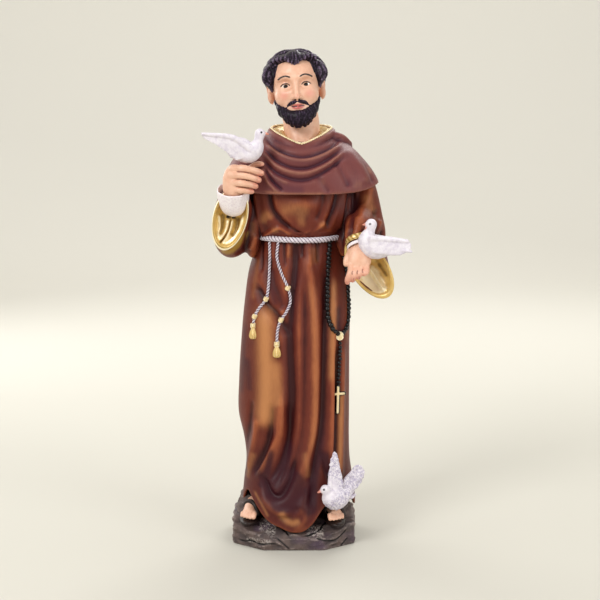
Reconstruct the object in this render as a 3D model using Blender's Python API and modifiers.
"""A painted resin statue of a friar in a hooded habit with three doves, on a rock base.

The friar, the habit, the rope belt, the rosary and the rock are one casting. The doves
are cast on their own and sit in shallow seats in it. X runs to the viewer's right, the
friar faces -Y and +Z is up. The origin is on the ground, under the middle of the base.
"""

import math

import bmesh
import bpy
import numpy as np
from mathutils import Euler, Matrix, Vector

# Driving sizes, in metres.
FIGURE_HEIGHT = 0.284  # from the soles to the crown of the hair
BASE_WIDTH = 0.0745
BASE_DEPTH = 0.0670
BASE_HEIGHT = 0.0148  # from the ground to the soles
BASE_RIM = 0.0055  # height of the upright edge round the foot of the rock
BASE_CORNER_X = 0.0190  # how far each chamfered corner runs along the front
BASE_CORNER_Y = 0.0145  # and along the side
DOVE_SCALE = 1.0  # size of the doves against their nominal size
SEAT_GAP = 0.0003  # glue line between a dove and its seat
BOULDERS = (  # side, half width, half depth and rise of the boulder by each foot
    (-1, 0.0075, 0.0150, 0.0155),
    (1, 0.0065, 0.0140, 0.0095),
)
BOULDER_INSET = 0.0015  # from the side of the base to the boulder
EDGE_ROUNDING = 0.0012  # how far the top of the rock's upright edge is rounded down
GROUND_CUTTER = 0.4  # side of the cube below ground that cuts the underside flat

# The figure is carved in model millimetres, at a nominal height of 284 mm above soles at 16 mm.
NOMINAL_HEIGHT = 284.0
NOMINAL_SOLE = 16.0
UNIT = FIGURE_HEIGHT / NOMINAL_HEIGHT

# Fineness of the clay that the pieces are fused in, and the faces kept, per node.
CLAY_VOXEL = 0.8 * UNIT
DOVE_VOXEL = 0.5 * UNIT
FIGURE_TRIANGLES = 7600
DOVE_TRIANGLES = 620

SQUARENESS = 2.2  # exponent of the oval sections, a little fuller than an ellipse
WAIST = 188.0
SLEEVE_WALL = 1.3
SLEEVE_SIDES = 32
HEAD = Vector((1.2, -2.0, 279.0))  # the middle of the head, level with the tops of the ears
HEAD_TILT = 6.0  # degrees that the crown leans to the viewer's left
NECK = Vector((4.6, 1.0, 256.0))
NECK_RADIUS = 10.8

# Sections of the habit: height, then the left, right, front and back edges.
HABIT = (
    (10, -30, 36, -32, 25),
    (24, -32, 38, -32, 26),
    (38, -31, 36.5, -30, 26),
    (52, -29.5, 34.5, -29, 25.5),
    (66, -31, 34, -28.5, 25),
    (80, -34, 34, -28.5, 24.5),
    (100, -33.8, 34, -28.5, 24),
    (125, -32.3, 34, -28, 23.5),
    (150, -30, 34.3, -26, 22.5),
    (170, -27, 33, -23.5, 21),
    (183, -23, 29, -21, 18.5),
    (188, -22, 28, -20.5, 18),
    (193, -24, 29.5, -23, 19.5),
    (200, -27.5, 31.5, -25, 21.5),
    (215, -30, 33, -26, 23),
    (232, -31, 35, -25, 23),
    (243, -27, 32, -20, 20),
    (251, -12, 18, -10, 14),
)
SHOULDER_CAPE = (
    (214, -43, 52.5, -31.5, 28.5),
    (222, -42.5, 51.0, -31.5, 28),
    (229, -40, 47.2, -30.5, 27.5),
    (236, -36, 41.5, -28, 26),
    (242, -29, 35.5, -23, 23.5),
    (247, -21, 28, -15.5, 20),
    (251, -16, 21, -10, 18),
    (254, -12, 16, -5, 15),
)
# The skirt's hem as seen from the front, across and up: lifted over each foot, low between them.
HEM_FRONT = (
    (-33, 43), (-29, 39), (-23.5, 32), (-18, 22.5), (-14.5, 18.5), (-7.5, 14.5), (-0.5, 12),
    (5, 12.5), (10, 16.5), (17, 26.5), (28, 31.5), (36, 31), (39, 34),
)
HEM_BEHIND = 12.0

# Folds are strokes of a round gouge on the front, drawn as seen from the front:
# points of (x, z), the half width, and the height, which is negative for a valley.
SKIRT_FRONT = (
    (((1, 186), (1, 176), (-1, 153), (-2, 130), (-1, 95), (-2, 70), (-7, 50), (-14, 39)), 3.2, -3.4),
    (((19, 176), (19.5, 140), (18.5, 100), (17, 75), (13.5, 57), (11, 42), (10.5, 28)), 3.0, -3.2),
    (((-22, 160), (-16.5, 150), (-9.5, 143), (-3, 131)), 2.6, -2.4),
    (((-15, 176), (-13, 164), (-9, 154), (-7, 148)), 4.0, -1.8),
    (((9, 178), (11, 158), (12.6, 130), (13, 92), (12, 73), (9, 58), (5, 46)), 3.4, 1.6),
    (((25, 150), (23.5, 130), (23, 100), (22.5, 70), (21, 50)), 2.0, 1.4),
    (((28, 120), (27.5, 75), (27, 45)), 2.2, 1.5),
    (((24, 125), (25, 80), (24.5, 50)), 1.6, -1.6),
    (((-17, 138), (-16, 117), (-14.5, 94), (-17, 76)), 8.5, 2.6),
    (((-7, 94), (-7.5, 77), (-11, 66), (-17, 54), (-22, 44)), 2.2, 1.8),
    (((-13, 88), (-14, 74), (-18, 62), (-24, 50)), 2.2, -1.6),
    (((-21, 78), (-24, 64), (-28, 47)), 2.0, 1.6),
    (((-19, 45), (-13.5, 34), (-7.5, 33), (-1, 43), (3, 54)), 2.4, -2.2),
    (((-16, 29), (-7, 23), (2, 24), (9, 34)), 3.0, 1.3),
    (((-19, 184), (-20, 172)), 1.3, -1.3),
    (((-6, 184), (-6, 173)), 1.3, -1.2),
    (((8, 185), (8, 176)), 1.3, -1.2),
)
CHEST_FRONT = (
    (((-15, 216), (-12, 207), (-7, 200), (0, 194)), 2.2, -2.4),
    (((27, 216), (23, 204), (19, 195)), 2.0, -2.2),
    (((6, 214), (6, 203)), 8.0, 1.6),
    (((-16, 191), (-8, 195.5), (-1, 192)), 1.6, 1.3),
    (((6, 191.5), (13, 194.5), (18, 197)), 1.6, 1.3),
    (((-22, 214), (-20, 200), (-18, 193)), 1.8, 1.2),
)
HABIT_BACK = (
    (((-20, 184), (-21, 150), (-23, 100), (-25, 30)), 3.0, -2.4),
    (((-10, 184), (-10, 150), (-12, 100), (-13, 30)), 2.6, -2.6),
    (((1, 184), (1, 140), (0, 90), (1, 30)), 3.0, -2.8),
    (((12, 184), (13, 150), (13, 100), (15, 30)), 2.6, -2.6),
    (((23, 184), (24, 150), (25, 100), (27, 30)), 3.0, -2.4),
    (((-15, 150), (-17, 100), (-19, 30)), 3.0, 1.6),
    (((6.5, 150), (7, 100), (8, 30)), 3.0, 1.6),
)
CAPE_FRONT = (
    (((-17.5, 247), (-12, 242.5), (-3.5, 238.5), (7.5, 237), (20, 241), (27, 246.5)), 1.5, -1.8),
    (((-17, 238), (-8, 230), (5, 225.3), (17, 230), (28, 238)), 1.6, -1.9),
    (((-17, 243.5), (-8, 235), (5, 231), (18, 235.5), (28, 243)), 2.4, 1.5),
    (((-15, 229), (-11.5, 222.5), (-6.5, 218.5)), 1.2, -1.6),
    (((-18, 230), (-14, 222), (-10, 218)), 1.4, 1.0),
    (((33, 240), (38, 230), (42, 222)), 3.0, 1.2),
    (((24, 233), (28, 226), (31, 220)), 2.2, -1.0),
)
CAPE_BACK = (
    (((-26, 238), (-14, 228), (2, 224), (18, 228), (32, 238)), 2.2, -1.4),
    (((-34, 228), (-30, 219)), 2.4, -1.4),
    (((38, 228), (34, 219)), 2.4, -1.4),
)


def smoothstep(low, high, value):
    share = np.clip((value - low) / (high - low), 0.0, 1.0)
    return share * share * (3.0 - 2.0 * share)


def through(knots, values, at):
    """A smooth curve through the values at rising knots, read at the given places."""
    knots = np.asarray(knots, float)
    values = np.asarray(values, float)
    at = np.clip(at, knots[0], knots[-1])
    slope = np.gradient(values, knots)
    i = np.clip(np.searchsorted(knots, at, side="right") - 1, 0, len(knots) - 2)
    step = knots[i + 1] - knots[i]
    t = (at - knots[i]) / step
    return (
        values[i] * (1 + 2 * t) * (1 - t) ** 2
        + slope[i] * step * t * (1 - t) ** 2
        + values[i + 1] * t**2 * (3 - 2 * t)
        + slope[i + 1] * step * t**2 * (t - 1)
    )


def carve(x, z, strokes):
    """How far the strokes raise or sink a surface at the points (x, z)."""
    raised = np.zeros_like(x)
    for points, width, height in strokes:
        nearest = np.full_like(x, 1e9)
        for (x0, z0), (x1, z1) in zip(points, points[1:]):
            run = (x1 - x0) ** 2 + (z1 - z0) ** 2
            t = np.clip(((x - x0) * (x1 - x0) + (z - z0) * (z1 - z0)) / run, 0, 1)
            away = (x - x0 - t * (x1 - x0)) ** 2 + (z - z0 - t * (z1 - z0)) ** 2
            nearest = np.minimum(nearest, away)
        raised = raised + height * np.exp(-nearest / width**2)
    return raised


def on_front(x, z, proud):
    """The point (x, z) on the habit's carved front, standing proud of it."""
    rows = np.array(HABIT, float)
    left, right, near, far = (float(through(rows[:, 0], rows[:, i], z)) for i in (1, 2, 3, 4))
    share = min(0.97, abs(2 * x - left - right) / (right - left))
    depth = (far - near) / 2 * (1 - share**SQUARENESS) ** (1 / SQUARENESS)
    strokes = SKIRT_FRONT if z < WAIST else CHEST_FRONT
    raised = float(carve(np.array(float(x)), np.array(float(z)), strokes)) * (1 - share)
    return (x, (near + far) / 2 - depth - raised - proud, z)


def to_world(points):
    """Model millimetres to metres, with the soles on the base."""
    points = np.asarray(points, float) - (0.0, 0.0, NOMINAL_SOLE)
    return points * UNIT + (0.0, 0.0, BASE_HEIGHT)


def linked(name, mesh):
    obj = bpy.data.objects.new(name, mesh)
    bpy.context.scene.collection.objects.link(obj)
    return obj


def skin(name, rings):
    """A closed skin over rings of points, in metres."""
    rings = np.asarray(rings, float)
    count, sides = rings.shape[:2]
    faces = []
    for i in range(count - 1):
        for j in range(sides):
            k = (j + 1) % sides
            faces.append((i * sides + j, i * sides + k, (i + 1) * sides + k, (i + 1) * sides + j))
    faces.append(tuple(range(sides))[::-1])
    faces.append(tuple((count - 1) * sides + j for j in range(sides)))
    mesh = bpy.data.meshes.new(name)
    mesh.from_pydata([tuple(place) for place in rings.reshape(-1, 3)], [], faces)
    return linked(name, mesh)


def loft(name, rings):
    """A closed skin over rings of points, in model millimetres."""
    rings = np.asarray(rings, float)
    return skin(name, to_world(rings.reshape(-1, 3)).reshape(rings.shape))


def ball(matrix):
    """A unit ball, stretched, turned and placed by a matrix in metres."""
    mesh = bpy.data.meshes.new("ball")
    shape = bmesh.new()
    bmesh.ops.create_uvsphere(shape, u_segments=24, v_segments=14, radius=1, matrix=matrix)
    shape.to_mesh(mesh)
    shape.free()
    return linked("ball", mesh)


def ellipsoid(centre, radii, turn=(0, 0, 0)):
    """A stretched ball in model millimetres, turned by degrees about X, Y and Z."""
    rotation = Euler([math.radians(a) for a in turn]).to_matrix().to_4x4()
    sizes = [radius * UNIT for radius in radii]
    return ball(Matrix.Translation(to_world(centre)) @ rotation @ Matrix.Diagonal((*sizes, 1)))


def tube(points, radii):
    """A round bar along a smooth curve through the points, with a radius at each."""
    radii = [radii] * len(points) if isinstance(radii, (int, float)) else radii
    curve = bpy.data.curves.new("tube", "CURVE")
    curve.dimensions = "3D"
    curve.bevel_depth = UNIT
    curve.bevel_resolution = 2
    curve.resolution_u = 6
    curve.use_fill_caps = True
    spline = curve.splines.new("BEZIER")
    spline.bezier_points.add(len(points) - 1)
    for knot, place, radius in zip(spline.bezier_points, points, radii):
        knot.co = Vector(to_world(place))
        knot.radius = radius
        knot.handle_left_type = knot.handle_right_type = "AUTO"
    obj = linked("tube", curve)
    bpy.context.view_layer.update()
    graph = bpy.context.evaluated_depsgraph_get()
    mesh = bpy.data.meshes.new_from_object(obj.evaluated_get(graph))
    bpy.data.objects.remove(obj)
    shape = bmesh.new()
    shape.from_mesh(mesh)
    bmesh.ops.remove_doubles(shape, verts=shape.verts, dist=1e-6)
    shape.to_mesh(mesh)
    shape.free()
    return linked("tube", mesh)


def draped(name, rows, heights, front, back, sides=112, hem=None):
    """A standing form with oval sections, carved by the front and back strokes.

    hem gives the height of the lowest ring at an angle, and the rings above close up to it.
    """
    rows = np.array(rows, float)
    angle = np.linspace(0, 2 * math.pi, sides, endpoint=False)
    turn_x = np.sign(np.cos(angle)) * np.abs(np.cos(angle)) ** (2 / SQUARENESS)
    turn_y = np.sign(np.sin(angle)) * np.abs(np.sin(angle)) ** (2 / SQUARENESS)
    rings = []
    for z in heights:
        level = np.full(sides, float(z))
        if hem is not None:
            share = (z - heights[0]) / (heights[-1] - heights[0])
            level = level + (hem(angle) - heights[0]) * (1 - share) ** 2
        left, right, near, far = (through(rows[:, 0], rows[:, i], level) for i in (1, 2, 3, 4))
        x = (left + right) / 2 + (right - left) / 2 * turn_x
        y = (near + far) / 2 + (far - near) / 2 * turn_y
        facing = smoothstep(0.0, 0.5, -np.sin(angle))
        behind = smoothstep(0.0, 0.5, np.sin(angle))
        raised = carve(x, level, front) * facing + carve(x, level, back) * behind
        rings.append(np.stack([x + raised * np.cos(angle), y + raised * np.sin(angle), level], 1))
    return loft(name, rings)


def blade(leading, trailing, thickness):
    """A wing, tail or strap: a thin lens-shaped skin between two edges."""
    leading = np.array(leading, float)
    trailing = np.array(trailing, float)
    thickness = np.broadcast_to(thickness, len(leading))
    along = np.gradient(leading + trailing, axis=0)
    rings = []
    for a, b, run, thick in zip(leading, trailing, along, thickness):
        across = b - a
        normal = np.cross(across, run)
        normal = normal / np.linalg.norm(normal)
        ring = []
        for step in np.linspace(0, 2 * math.pi, 12, endpoint=False):
            middle = (a + b) / 2 + across / 2 * math.cos(step)
            ring.append(middle + normal * thick / 2 * math.sin(step))
        rings.append(ring)
    return loft("blade", rings)


def hem_of_skirt(angle):
    """Height of the skirt's hem: lifted over the feet, low between them and behind."""
    knots, heights = np.array(HEM_FRONT, float).T
    behind = HEM_BEHIND + 10 * smoothstep(0.6, 1.0, np.abs(np.cos(angle)))
    front = smoothstep(0.0, 0.5, -np.sin(angle))
    return behind + front * (through(knots, heights, 3 + 36 * np.cos(angle)) - behind)


def hem_of_cape(angle):
    front = smoothstep(0.1, 1.0, -np.sin(angle))
    behind = smoothstep(0.1, 1.0, np.sin(angle))
    return 221.0 - 5.5 * front - 2.0 * behind


def make_habit():
    skirt = draped("skirt", HABIT, np.linspace(12, 189, 84), SKIRT_FRONT, HABIT_BACK, hem=hem_of_skirt)
    chest = draped("chest", HABIT, np.linspace(187, 250, 34), CHEST_FRONT, HABIT_BACK)
    cape = draped(
        "cape", SHOULDER_CAPE, np.linspace(217, 253, 24), CAPE_FRONT, CAPE_BACK, hem=hem_of_cape
    )
    hood = [
        ellipsoid((2.5, 17, 241), (22, 10, 12), (-14, 0, 0)),
        ellipsoid((2.5, 23, 231), (14, 7, 14), (-10, 0, 0)),
        ellipsoid((2.5, 27, 219), (6.5, 4.5, 9), (-4, 0, 0)),
    ]
    return [skirt, chest, cape, *hood]


def make_collar():
    """The rolled edge of the hood round the neck: a V in front, and high behind."""
    ring = []
    for angle in np.linspace(0, 2 * math.pi, 17)[:-1]:
        front = max(0.0, -math.sin(angle))
        behind = max(0.0, math.sin(angle))
        level = 253.0 - 9.5 * front**1.3 + 2.5 * behind
        ring.append((NECK.x + 17.5 * math.cos(angle), 1 + 19.5 * math.sin(angle), level))
    ring.append(ring[0])
    shoulder = ((21, -6, 250), (28, -2, 247.5), (33, 4, 244))
    return [tube(ring, 2.1), tube(shoulder, (2.5, 3.2, 2.5))]


def oval_ring(centre, radii, lean, slant):
    """An oval that faces the viewer, leaning to one side; slant brings its left edge forward."""
    lean = math.radians(lean)
    angle = np.linspace(0, 2 * math.pi, SLEEVE_SIDES, endpoint=False)
    across = radii[0] * np.cos(angle)
    along = radii[1] * np.sin(angle)
    x = centre[0] + across * math.cos(lean) - along * math.sin(lean)
    z = centre[2] + across * math.sin(lean) + along * math.cos(lean)
    return np.stack([x, centre[1] + slant * across, z], 1)


def bell_sleeve(name, sections):
    """A hanging sleeve from its mouth back to the elbow, with a hollow inside the mouth."""
    outside = [oval_ring(*section) for section in sections]
    inside = []
    for share, (centre, radii, lean, slant) in zip((1.0, 0.8, 0.5), sections):
        inner = [(r - SLEEVE_WALL) * share for r in radii]
        inside.append(oval_ring(centre, inner, lean, slant))
    return loft(name, [*inside[::-1], *outside])


def make_sleeves():
    raised = bell_sleeve(
        "raised_sleeve",
        (
            ((-36.4, -28, 199.5), (11.2, 17.0), 0, 0),
            ((-36.5, -20, 197.5), (12.6, 19.0), 0, 0),
            ((-36.5, -11, 197.0), (12.8, 20.5), 0, 0),
            ((-35.0, 0, 200.0), (12.0, 20.0), 0, 0),
            ((-33.0, 8, 206.0), (9.0, 15.0), 0, 0),
        ),
    )
    lowered = bell_sleeve(
        "lowered_sleeve",
        (
            ((45, -29, 171), (10.8, 20.5), 34, -0.25),
            ((45.3, -20, 176), (11.5, 20.2), 32, -0.25),
            ((45.3, -11, 184), (11.8, 18.0), 26, -0.2),
            ((44, -2, 193), (11.5, 15.0), 18, 0),
            ((42, 4, 200), (8.5, 11.0), 15, 0),
        ),
    )
    arms = [
        tube([(-27, 1, 234), (-32, 1, 220), (-35.5, 0, 205)], (8, 11, 12)),
        tube([(32, 1, 234), (37.5, 1, 220), (41, -1, 206), (43, -5, 194)], (8, 11, 11.5, 11.5)),
        ellipsoid((-25, -7, 196), (6, 12, 20)),
        ellipsoid((34, -3, 200), (6.5, 12, 17)),
    ]
    return [raised, lowered, *arms]


def make_hands():
    fingers = []
    for points, radius in (
        (((-33, -35, 231.5), (-27, -37.5, 230.8), (-21.5, -36.5, 229), (-18.6, -33.5, 228)), 2.4),
        (((-34.5, -36, 227.2), (-28, -38.5, 226.8), (-23, -37.2, 225), (-20.2, -34.2, 224.2)), 2.4),
        (((-35, -36, 223), (-28.5, -38, 222.5), (-24.5, -36.5, 221.2), (-22, -33.5, 220.6)), 2.3),
        (((-34.5, -35, 218.8), (-29, -36.5, 218.5), (-26, -35, 217.8), (-24.2, -32.5, 217.5)), 2.0),
        (((-33, -28, 222), (-26, -27, 228), (-20, -28.5, 231.5), (-17.3, -30, 232.2)), 2.3),
    ):
        fingers.append(tube(points, (radius, radius, radius * 0.95, radius * 0.85)))
    for number, drop in enumerate((0.0, 1.2, 2.4, 4.0)):
        x = 33.0 + 3.3 * number
        points = (
            (x, -36, 175),
            (x - 0.3, -39.5, 170.8),
            (x - 0.8, -39, 167 + drop * 0.7),
            (x - 1.2, -36.5, 164.5 + drop),
        )
        fingers.append(tube(points, (2.1, 2.1, 1.9, 1.7)))
    palms = [
        ellipsoid((-34.8, -32.5, 223.8), (6.8, 5.2, 9.6), (0, 4, 0)),
        ellipsoid((-28, -32, 223.5), (6, 4.5, 7.5)),
        ellipsoid((38, -35.5, 178), (7.4, 5.4, 8.6), (-12, 8, 0)),
        tube([(-36, -16, 203), (-35.4, -27, 212), (-35, -31, 219)], (8.0, 7.6, 6.2)),
        tube([(42, -16, 190), (39, -27, 186), (38, -33, 180)], (7, 6.6, 6)),
    ]
    return [*fingers, *palms]


def make_feet():
    feet = []
    for x, y, yaw in ((-25.5, -14.5, -10), (24.5, -17, 6)):
        feet.append(ellipsoid((x, y, 20.5), (5.6, 13.5, 4.6), (12, 0, yaw)))
        feet.append(ellipsoid((x, y, 16.2), (6.8, 15, 2.2), (0, 0, yaw)))
        turn = Euler((0, 0, math.radians(yaw))).to_matrix()
        for toe in range(5):
            tip = Vector((x, y, 19)) + turn @ Vector((2.1 * (toe - 2), 0.5 * abs(toe - 1.5) - 12.5, 0))
            feet.append(ellipsoid(tip, (1.3, 2.2, 1.4)))
    return feet


def on_head(point):
    """A place in the head's own frame, as a place in the statue's."""
    tilt = Euler((0, math.radians(-HEAD_TILT), 0)).to_matrix()
    return tuple(HEAD + tilt @ Vector(point))


def head_ball(centre, radii, turn=(0, 0, 0)):
    return ellipsoid(on_head(centre), radii, (turn[0], turn[1] - HEAD_TILT, turn[2]))


def make_head():
    skull = [
        head_ball((0, 2.5, 4), (15.0, 18.0, 16.5)),
        head_ball((0, -5, -5), (13.2, 12.5, 14.5)),
        head_ball((0, -9.5, -14.5), (8.5, 8.0, 7.0)),
        head_ball((0, -14.4, 4.4), (9.6, 2.6, 1.8)),
        head_ball((0, -17.8, -6.8), (2.5, 2.8, 2.2)),
        tube([on_head((0, -15.8, 2)), on_head((0, -17.6, -3)), on_head((0, -19.2, -6.6))], (1.3, 1.5, 1.7)),
        head_ball((0, -16.6, -12.4), (3.6, 1.8, 1.5)),
        tube([on_head((0, 3, -10)), NECK, NECK + Vector((0.4, -4, -13))], NECK_RADIUS),
    ]
    for side in (-1, 1):
        skull.append(head_ball((side * 5.8, -13.9, 0), (2.6, 2.2, 2.0)))
        skull.append(head_ball((side * 7.5, -11.5, -6), (4.2, 3.6, 4.4)))
        skull.append(head_ball((side * 15.2, 2, -3.5), (2.0, 3.6, 5.6), (-12, 0, side * 20)))
    return skull


def make_hair_and_beard():
    hair = [
        head_ball((0, 4.5, 6.4), (18.9, 17.5, 15.0)),
        head_ball((0, -8.5, 13.5), (10.5, 6.0, 6.0)),
        head_ball((0, 10, -4), (14, 12, 12)),
        head_ball((1.2, -13.2, 11.8), (4.4, 2.8, 3.6)),
    ]
    for side in (-1, 1):
        hair.append(head_ball((side * 14.9, -2.0, 3.0), (3.4, 7.0, 9.0)))
        hair.append(head_ball((side * 14.4, -5.2, -4.0), (1.8, 2.6, 4.6)))
    jaw = []
    for angle in np.linspace(math.radians(196), math.radians(344), 9):
        side, front = abs(math.cos(angle)), -math.sin(angle)
        level = -17.5 - 2.5 * front**2 + 6.5 * side**3
        jaw.append(on_head((12.2 * math.cos(angle), -2 - 15.5 * front, level)))
    moustache = (
        (-7.4, -13, -15.5), (-4, -16.6, -10.6), (0, -18.2, -9.4), (4, -16.6, -10.6), (7.4, -13, -15.5),
    )
    beard = [
        tube(jaw, (2.0, 3.2, 4.0, 4.4, 4.6, 4.4, 4.0, 3.2, 2.0)),
        head_ball((0, -13.5, -21.0), (7.5, 5.0, 4.2)),
        tube([on_head(place) for place in moustache], (0.8, 1.0, 1.1, 1.0, 0.8)),
    ]
    return [*hair, *beard]


def make_rope():
    """The rope belt with its two hanging ends, their knots and tassels."""
    belt = []
    for angle in np.linspace(0, 2 * math.pi, 25):
        level = WAIST + 1.4 * math.cos(angle) ** 2
        belt.append((3 + 26.0 * math.cos(angle), -1.3 + 20.5 * math.sin(angle), level))
    ends = (
        ((-14.5, 187), (-14.3, 177), (-15, 162), (-16.5, 153), (-21, 147), (-24, 139)),
        (
            (-9.2, 187), (-10, 178), (-7.5, 169), (-3.5, 160), (-2, 152), (-4.5, 145),
            (-9, 136), (-10.2, 126),
        ),
    )
    parts = [tube(belt, 2.1)]
    for route in ends:
        parts.append(tube([on_front(x, z, 0.4) for x, z in route], 1.2))
        x, z = route[-1]
        parts.append(ellipsoid(on_front(x - 0.3, z - 4.0, 0.6), (2.1, 1.9, 3.8)))
        parts.append(ellipsoid(on_front(x, z, 0.6), (1.7, 1.6, 1.6)))
        parts.append(ellipsoid(on_front(*route[-3], 0.6), (1.6, 1.6, 1.5)))
    return parts


def make_rosary():
    """The rosary: two strands of the loop, a medal, the drop and its cross."""
    loop_end = (27.5, 130.5)
    strands = (
        ((21.5, 187), (20.8, 178), (20, 160), (20.3, 144), (22.3, 137), loop_end),
        ((26, 187), (29, 181), (32.0, 165), (32.6, 150), (32.4, 139), (31, 133.5), loop_end),
        (loop_end, (27.6, 118), (26.8, 104), (26.6, 99)),
    )
    parts = [tube([on_front(x, z, 0.5) for x, z in route], 1.35) for route in strands]
    parts.append(ellipsoid(on_front(*loop_end, 0.6), (1.8, 1.6, 1.8)))
    parts.append(tube([on_front(26.8, 101, 0.7), on_front(26.6, 83.5, 0.7)], 1.2))
    parts.append(tube([on_front(23.6, 95.2, 0.7), on_front(29.8, 95.8, 0.7)], 1.1))
    return parts


def rock_top(x, y):
    """Height of the rock at shares of its half width and depth: low in front, level behind."""
    slope = smoothstep(-1.0, -0.35, y)
    lip = 0.35 * smoothstep(-1.15, -0.9, y)
    return BASE_RIM + (BASE_HEIGHT - BASE_RIM) * (slope + lip * (1 - slope))


def make_base():
    """The rock: a block with cut corners that rises from its front edge to the soles."""
    half_x, half_y = BASE_WIDTH / 2, BASE_DEPTH / 2
    corner_x, corner_y = half_x - BASE_CORNER_X, half_y - BASE_CORNER_Y
    outline = [
        (corner_x, -half_y), (half_x, -corner_y), (half_x, corner_y), (corner_x, half_y),
        (-corner_x, half_y), (-half_x, corner_y), (-half_x, -corner_y), (-corner_x, -half_y),
    ]
    edge = []
    for start, end in zip(outline, outline[1:] + outline[:1]):
        edge.extend(np.linspace(start, end, 8, endpoint=False))
    rounded = sum(np.roll(edge, shift, axis=0) for shift in (-1, 0, 1)) / 3
    rings = [np.column_stack([rounded, np.full(len(edge), -BASE_RIM)])]
    for share in (1.0, 0.96, 0.85, 0.65, 0.4, 0.15):
        x, y = (rounded * share).T
        top = rock_top(x / half_x, y / half_y) - (EDGE_ROUNDING if share == 1.0 else 0.0)
        rings.append(np.column_stack([x, y, top]))
    boulders = []
    for side, width, depth, rise in BOULDERS:
        place = Vector((side * (half_x - width - BOULDER_INSET), 0, BASE_HEIGHT))
        boulders.append(ball(Matrix.Translation(place) @ Matrix.Diagonal((width, depth, rise, 1))))
    return [skin("rock", rings), *boulders]


def scaled(points, about):
    about = np.array(about, float)
    return [tuple(about + (np.array(p, float) - about) * DOVE_SCALE) for p in points]


def dove(about, spine, radii, beak, blades):
    """A bird: a body along its spine, a beak, and blades for its wings and tail."""
    spine = scaled(spine, about)
    parts = [tube(spine, [r * DOVE_SCALE for r in radii])]
    for point, radius in zip(spine, radii):
        parts.append(ellipsoid(point, (radius * DOVE_SCALE,) * 3))
    parts.append(tube(scaled(beak, about), (1.1 * DOVE_SCALE, 0.45 * DOVE_SCALE)))
    for leading, trailing, thickness in blades:
        parts.append(blade(scaled(leading, about), scaled(trailing, about), thickness))
    return parts


def fuse(name, parts, voxel, triangles, smoothing):
    """Joins overlapping solids into one skin, softened as a casting is, with few faces."""
    merged = bmesh.new()
    for part in parts:
        merged.from_mesh(part.data)
        bpy.data.objects.remove(part)
    bmesh.ops.recalc_face_normals(merged, faces=merged.faces)
    mesh = bpy.data.meshes.new(name)
    merged.to_mesh(mesh)
    merged.free()
    obj = bpy.data.objects.new(name, mesh)
    statue.objects.link(obj)
    remesh = obj.modifiers.new("Clay", "REMESH")
    remesh.mode = "VOXEL"
    remesh.voxel_size = voxel
    soften = obj.modifiers.new("Soften", "SMOOTH")
    soften.factor = 0.5
    soften.iterations = smoothing
    bpy.context.view_layer.update()
    graph = bpy.context.evaluated_depsgraph_get()
    dense = sum(len(p.vertices) - 2 for p in obj.evaluated_get(graph).data.polygons)
    thin = obj.modifiers.new("Fewer faces", "DECIMATE")
    thin.ratio = min(1.0, triangles / dense)
    return obj


def material(name, colour, roughness, metallic=0.0):
    made = bpy.data.materials.new(name)
    made.use_nodes = True
    shader = made.node_tree.nodes["Principled BSDF"]
    shader.inputs["Base Color"].default_value = (*colour, 1.0)
    shader.inputs["Roughness"].default_value = roughness
    shader.inputs["Metallic"].default_value = metallic
    return made


def cut(target, cutter, name):
    cutter.hide_render = True
    cutter.display_type = "WIRE"
    modifier = target.modifiers.new(name, "BOOLEAN")
    modifier.operation = "DIFFERENCE"
    modifier.object = cutter


def seat(bird):
    """A copy of a dove, swollen by the glue line, that cuts its seat."""
    swollen = bird.copy()
    swollen.name = bird.name + "_seat"
    cutters.objects.link(swollen)
    grow = swollen.modifiers.new("Glue line", "DISPLACE")
    grow.mid_level = 0.0
    grow.strength = SEAT_GAP
    return swollen


def new_collection(name):
    collection = bpy.data.collections.new(name)
    bpy.context.scene.collection.children.link(collection)
    return collection


for old in list(bpy.data.objects):
    bpy.data.objects.remove(old)
statue = new_collection("saint_statue")
cutters = new_collection("cutters")

figure = fuse(
    "saint_figure",
    [
        *make_base(),
        *make_habit(),
        *make_collar(),
        *make_sleeves(),
        *make_hands(),
        *make_feet(),
        *make_head(),
        *make_hair_and_beard(),
        *make_rope(),
        *make_rosary(),
    ],
    CLAY_VOXEL,
    FIGURE_TRIANGLES,
    4,
)
figure.data.materials.append(material("painted_resin_brown", (0.19, 0.065, 0.035), 0.45))

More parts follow.
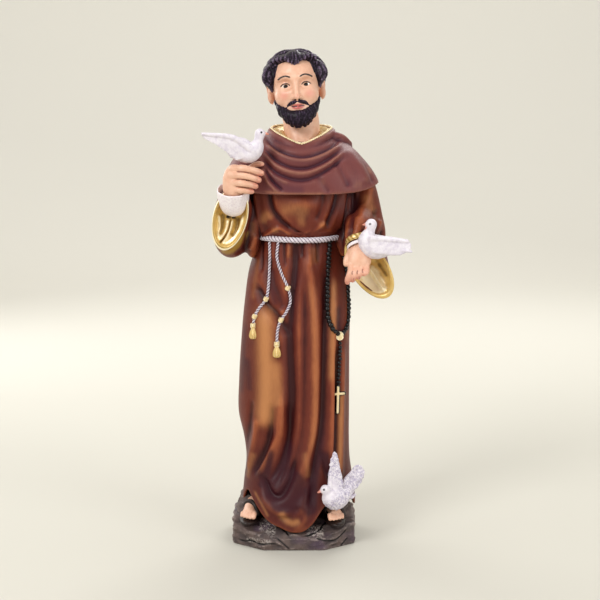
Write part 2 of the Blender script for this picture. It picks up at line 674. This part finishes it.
DOVES = {
    "dove_on_raised_hand": dove(
        about=(-27, -34, 234),
        spine=(
            (-19.4, -34, 251), (-20.3, -34, 247), (-22, -34, 242.2),
            (-26, -34, 239.2), (-31.5, -33.5, 239.4), (-36, -33, 240),
        ),
        radii=(3.0, 2.7, 4.6, 5.2, 4.0, 2.2),
        beak=((-17.5, -34.2, 251.3), (-14.6, -34.4, 250.7)),
        blades=(
            (
                ((-23, -38, 245.5), (-31, -39.5, 249.2), (-42, -41, 250.6), (-52, -41.5, 251.2)),
                ((-31, -38, 238.8), (-37.5, -39, 241.2), (-43.5, -40.8, 245.6), (-51, -41.5, 249.6)),
                (3.4, 2.4, 1.8, 1.2),
            ),
            (
                ((-23, -30.5, 246), (-30, -27, 250), (-40, -22, 251.8), (-49, -18, 252.5)),
                ((-30, -30.5, 240), (-36, -27.5, 242.5), (-42.5, -22.5, 246.5), (-48.5, -18, 250.6)),
                (3.4, 2.4, 1.8, 1.2),
            ),
            (
                ((-31, -37, 240), (-36, -37.5, 238.6), (-40.5, -38, 236.5)),
                ((-31, -30, 240), (-36, -29.5, 238.6), (-40.5, -29, 236.5)),
                (4.5, 2.4, 1.3),
            ),
        ),
    ),
    "dove_on_forearm": dove(
        about=(44, -37, 178),
        spine=(
            (45, -37, 199.6), (44, -37, 195), (42.8, -37, 189),
            (47, -37, 185), (54, -37, 185), (60, -37, 185.5),
        ),
        radii=(3.3, 3.1, 5.4, 6.6, 5.2, 3.0),
        beak=((42.4, -37.4, 199.8), (39.6, -37.6, 199.6)),
        blades=(
            (
                ((43.5, -42.5, 191), (50, -43.2, 190.5), (58, -41, 189.3), (65, -39.5, 187.3)),
                ((44.5, -43, 184), (50, -44, 182.5), (58, -42, 183.5), (64.5, -39.8, 184.8)),
                (2.4, 2.6, 2.0, 1.2),
            ),
            (
                ((43.5, -31.5, 191), (50, -30.8, 190.5), (58, -33, 189.3), (65, -34.5, 187.3)),
                ((44.5, -31, 184), (50, -30, 182.5), (58, -32, 183.5), (64.5, -34.2, 184.8)),
                (2.4, 2.6, 2.0, 1.2),
            ),
            (
                ((56, -39.5, 185.5), (62, -40.2, 185), (68.5, -41.5, 184.3)),
                ((56, -34.5, 185.5), (62, -33.8, 185), (68.5, -32.5, 184.3)),
                (5.0, 3.0, 1.6),
            ),
        ),
    ),
    "dove_at_feet": dove(
        about=(25, -31.5, 26),
        spine=(
            (18.8, -36, 40), (20, -35.3, 37), (22.2, -34, 33.5),
            (26, -33, 33), (31, -31, 36), (34, -29.5, 38.5),
        ),
        radii=(2.9, 3.0, 5.4, 6.2, 4.2, 2.4),
        beak=((16.6, -36.5, 39.4), (14.4, -36.9, 38.4)),
        blades=(
            (
                ((20.5, -34, 38), (20, -33, 46), (21.6, -31.5, 54), (24, -30, 61)),
                ((28, -32, 39), (28, -31.5, 46), (27.4, -30.5, 54), (25.4, -30, 60.4)),
                (3.2, 2.4, 1.8, 1.2),
            ),
            (
                ((27, -29.5, 40), (32, -27.5, 46), (37, -26, 49.2), (41, -25, 50)),
                ((33, -29.5, 34.5), (37, -27.5, 39), (40, -26, 43.5), (42, -25, 47)),
                (3.2, 2.4, 1.8, 1.2),
            ),
            (
                ((27, -33.5, 31), (33, -32.5, 34), (38, -31.5, 38)),
                ((31, -27.5, 30.5), (36, -27, 33), (40, -26.5, 37.5)),
                (4.2, 2.6, 1.4),
            ),
        ),
    ),
}
for name, parts in DOVES.items():
    bird = fuse(name, parts, DOVE_VOXEL, DOVE_TRIANGLES, 2)
    bird.data.materials.append(material("painted_resin_white", (0.80, 0.78, 0.80), 0.5))
    cut(figure, seat(bird), "Seat of " + name)

below = bmesh.new()
bmesh.ops.create_cube(below, size=GROUND_CUTTER, matrix=Matrix.Translation((0, 0, -GROUND_CUTTER / 2)))
floor_mesh = bpy.data.meshes.new("below_ground")
below.to_mesh(floor_mesh)
below.free()
floor = bpy.data.objects.new("below_ground", floor_mesh)
cutters.objects.link(floor)
cut(figure, floor, "Flat underside")
